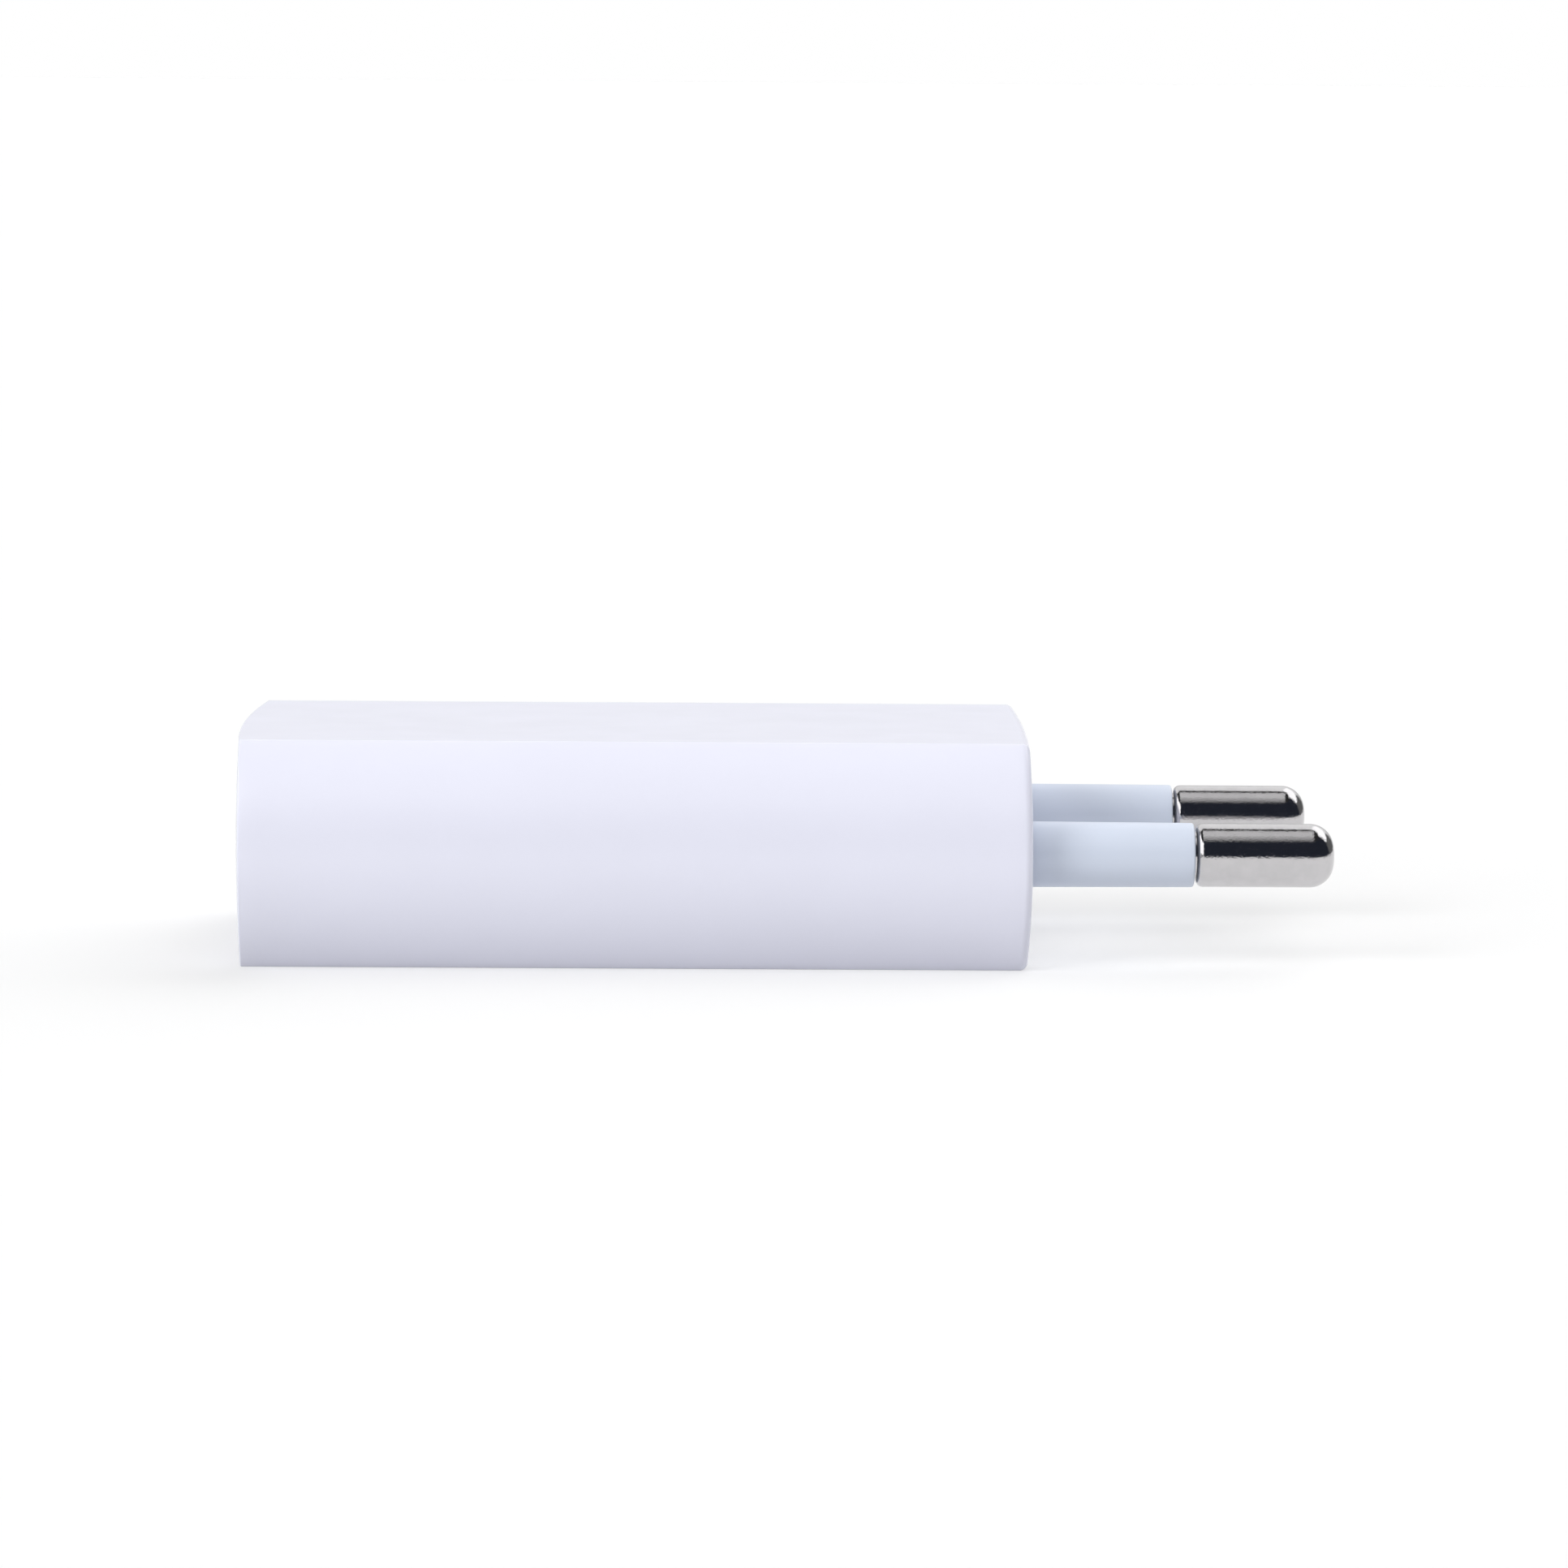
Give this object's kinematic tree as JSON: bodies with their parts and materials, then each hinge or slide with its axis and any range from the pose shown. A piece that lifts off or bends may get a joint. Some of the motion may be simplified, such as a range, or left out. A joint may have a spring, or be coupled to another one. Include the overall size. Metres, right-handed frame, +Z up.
{
  "type": "usb wall charger",
  "caption": "Slim wall charger with flat faces and curved sides, sleeved round mains pins at one end and a type-A power socket at the other.",
  "frame": {"origin": "midway between the two plug pins, on the crown of the plug face, at mid thickness", "axes": "+X along the plug pins, away from the body; +Z up, square to the wide flat faces; +Y across the body"},
  "size_m": [0.0693, 0.0284, 0.0142],
  "materials": {
    "housing_white": "glossy bluish white polycarbonate",
    "sleeve_plastic": "smooth pale blue-white nylon",
    "pin_metal": "nickel plated, satin",
    "terminal_brass": "bare brass strip",
    "board_green": "glass-fibre board with green solder mask",
    "solder": "tin solder, bright",
    "insulation_paper": "pale fibre sheet",
    "shell_metal": "nickel-plated steel sheet",
    "insulator_white": "white moulded nylon",
    "contact_gold": "gold-flashed phosphor bronze",
    "can_aluminium": "drawn aluminium",
    "capacitor_film": "dark shrink film",
    "seal_rubber": "black rubber",
    "tinned_wire": "tinned copper wire",
    "ferrite": "dark grey sintered ferrite",
    "bobbin_black": "black phenolic moulding",
    "copper_wire": "enamelled copper wire",
    "yellow_tape": "yellow polyester tape",
    "resistor_body": "lacquered ceramic",
    "disc_blue": "blue epoxy-dipped ceramic",
    "package_white": "white moulded package",
    "package_black": "black epoxy package",
    "chip_tan": "tan sintered ceramic"
  },
  "bodies": {
    "charger": {"main_housing": "housing_white", "plug_cap": "housing_white", "plug_pin_left": "pin_metal", "plug_pin_right": "pin_metal", "pin_sleeve_left": "sleeve_plastic", "pin_sleeve_right": "sleeve_plastic", "pin_terminal_left": "terminal_brass", "pin_terminal_right": "terminal_brass", "circuit_board": "board_green", "solder_joints": "solder", "insulation_sheet": "insulation_paper", "usb_shell": "shell_metal", "usb_insulator": "insulator_white", "usb_contact_tails": "contact_gold", "bulk_capacitor_1_can": "can_aluminium", "bulk_capacitor_1_sleeve": "capacitor_film", "bulk_capacitor_1_seal": "seal_rubber", "bulk_capacitor_2_can": "can_aluminium", "bulk_capacitor_2_sleeve": "capacitor_film", "bulk_capacitor_2_seal": "seal_rubber", "output_capacitor_1_can": "can_aluminium", "output_capacitor_1_sleeve": "capacitor_film", "output_capacitor_1_seal": "seal_rubber", "output_capacitor_2_can": "can_aluminium", "output_capacitor_2_sleeve": "capacitor_film", "output_capacitor_2_seal": "seal_rubber", "capacitor_leads": "tinned_wire", "transformer_core_primary": "ferrite", "transformer_core_secondary": "ferrite", "transformer_bobbin": "bobbin_black", "transformer_winding": "copper_wire", "transformer_tape": "yellow_tape", "transformer_pins": "tinned_wire", "fusible_resistor": "resistor_body", "fusible_resistor_leads": "tinned_wire", "filter_choke_core": "ferrite", "filter_choke_winding": "copper_wire", "filter_choke_leads": "tinned_wire", "y_capacitor": "disc_blue", "y_capacitor_leads": "tinned_wire", "optocoupler": "package_white", "optocoupler_legs": "tinned_wire", "controller_chip": "package_black", "controller_legs": "tinned_wire", "bridge_rectifier": "package_black", "bridge_legs": "tinned_wire", "output_rectifier": "package_black", "output_rectifier_tabs": "tinned_wire", "snubber_diode": "package_black", "chip_resistors": "package_black", "chip_capacitors": "chip_tan", "chip_terminations": "tinned_wire"},
    "usb_contact_vbus_arm": {"usb_contact_vbus": "contact_gold"},
    "usb_contact_data_minus_arm": {"usb_contact_data_minus": "contact_gold"},
    "usb_contact_data_plus_arm": {"usb_contact_data_plus": "contact_gold"},
    "usb_contact_ground_arm": {"usb_contact_ground": "contact_gold"}
  },
  "joints": [
    {"name": "contact_vbus_flex", "type": "hinge", "parent": "charger", "child": "usb_contact_vbus_arm", "pos_m": [-0.038, -0.0035, 0.00056], "axis": [0, 1, 0], "range_deg": [0, 3.2], "stiffness_Nm_per_rad": 0.09},
    {"name": "contact_data_minus_flex", "type": "hinge", "parent": "charger", "child": "usb_contact_data_minus_arm", "pos_m": [-0.038, -0.001, 0.00056], "axis": [0, 1, 0], "range_deg": [0, 3.2], "stiffness_Nm_per_rad": 0.09},
    {"name": "contact_data_plus_flex", "type": "hinge", "parent": "charger", "child": "usb_contact_data_plus_arm", "pos_m": [-0.038, 0.001, 0.00056], "axis": [0, 1, 0], "range_deg": [0, 3.2], "stiffness_Nm_per_rad": 0.09},
    {"name": "contact_ground_flex", "type": "hinge", "parent": "charger", "child": "usb_contact_ground_arm", "pos_m": [-0.038, 0.0035, 0.00056], "axis": [0, 1, 0], "range_deg": [0, 3.2], "stiffness_Nm_per_rad": 0.09}
  ]
}
